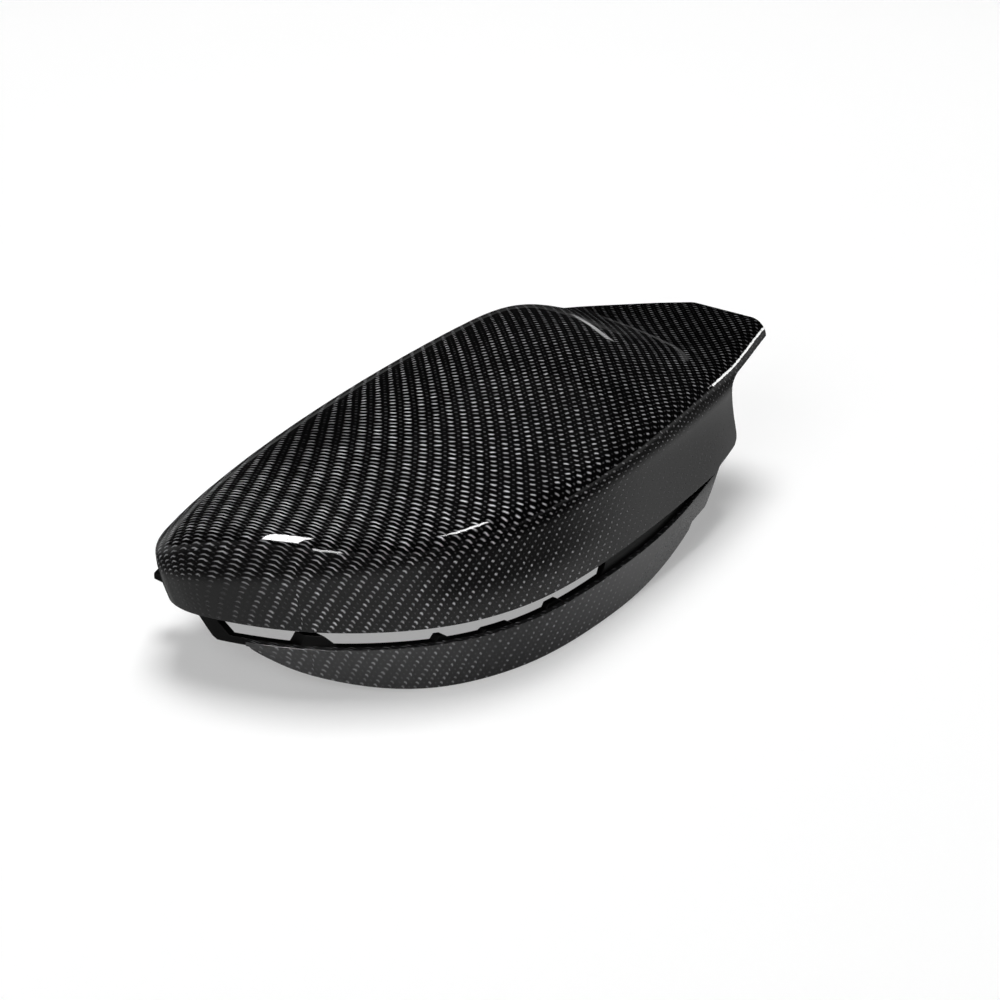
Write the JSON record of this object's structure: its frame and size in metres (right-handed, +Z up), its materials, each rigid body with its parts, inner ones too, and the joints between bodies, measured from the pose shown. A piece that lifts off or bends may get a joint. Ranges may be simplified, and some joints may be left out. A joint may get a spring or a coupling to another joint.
{
  "type": "wing mirror cover",
  "caption": "Wing mirror cover in clear-coated woven carbon, with a pointed inboard wing, a lamp slot over a crescent blade and a black clip frame inside.",
  "frame": {"origin": "middle of the base of the overall box, in the plane of the long rim and the keel of the blade", "axes": "+X along the length to the inboard wing tip, +Y from the blade side to the long rim, +Z up to the crown"},
  "size_m": [0.2428, 0.1184, 0.0787],
  "materials": {
    "carbon_laminate": "gloss clear coat over woven carbon twill",
    "black_plastic": "satin moulded plastic"
  },
  "bodies": {
    "root": {"carbon_shell": "carbon_laminate", "clip_frame": "black_plastic"}
  },
  "joints": []
}
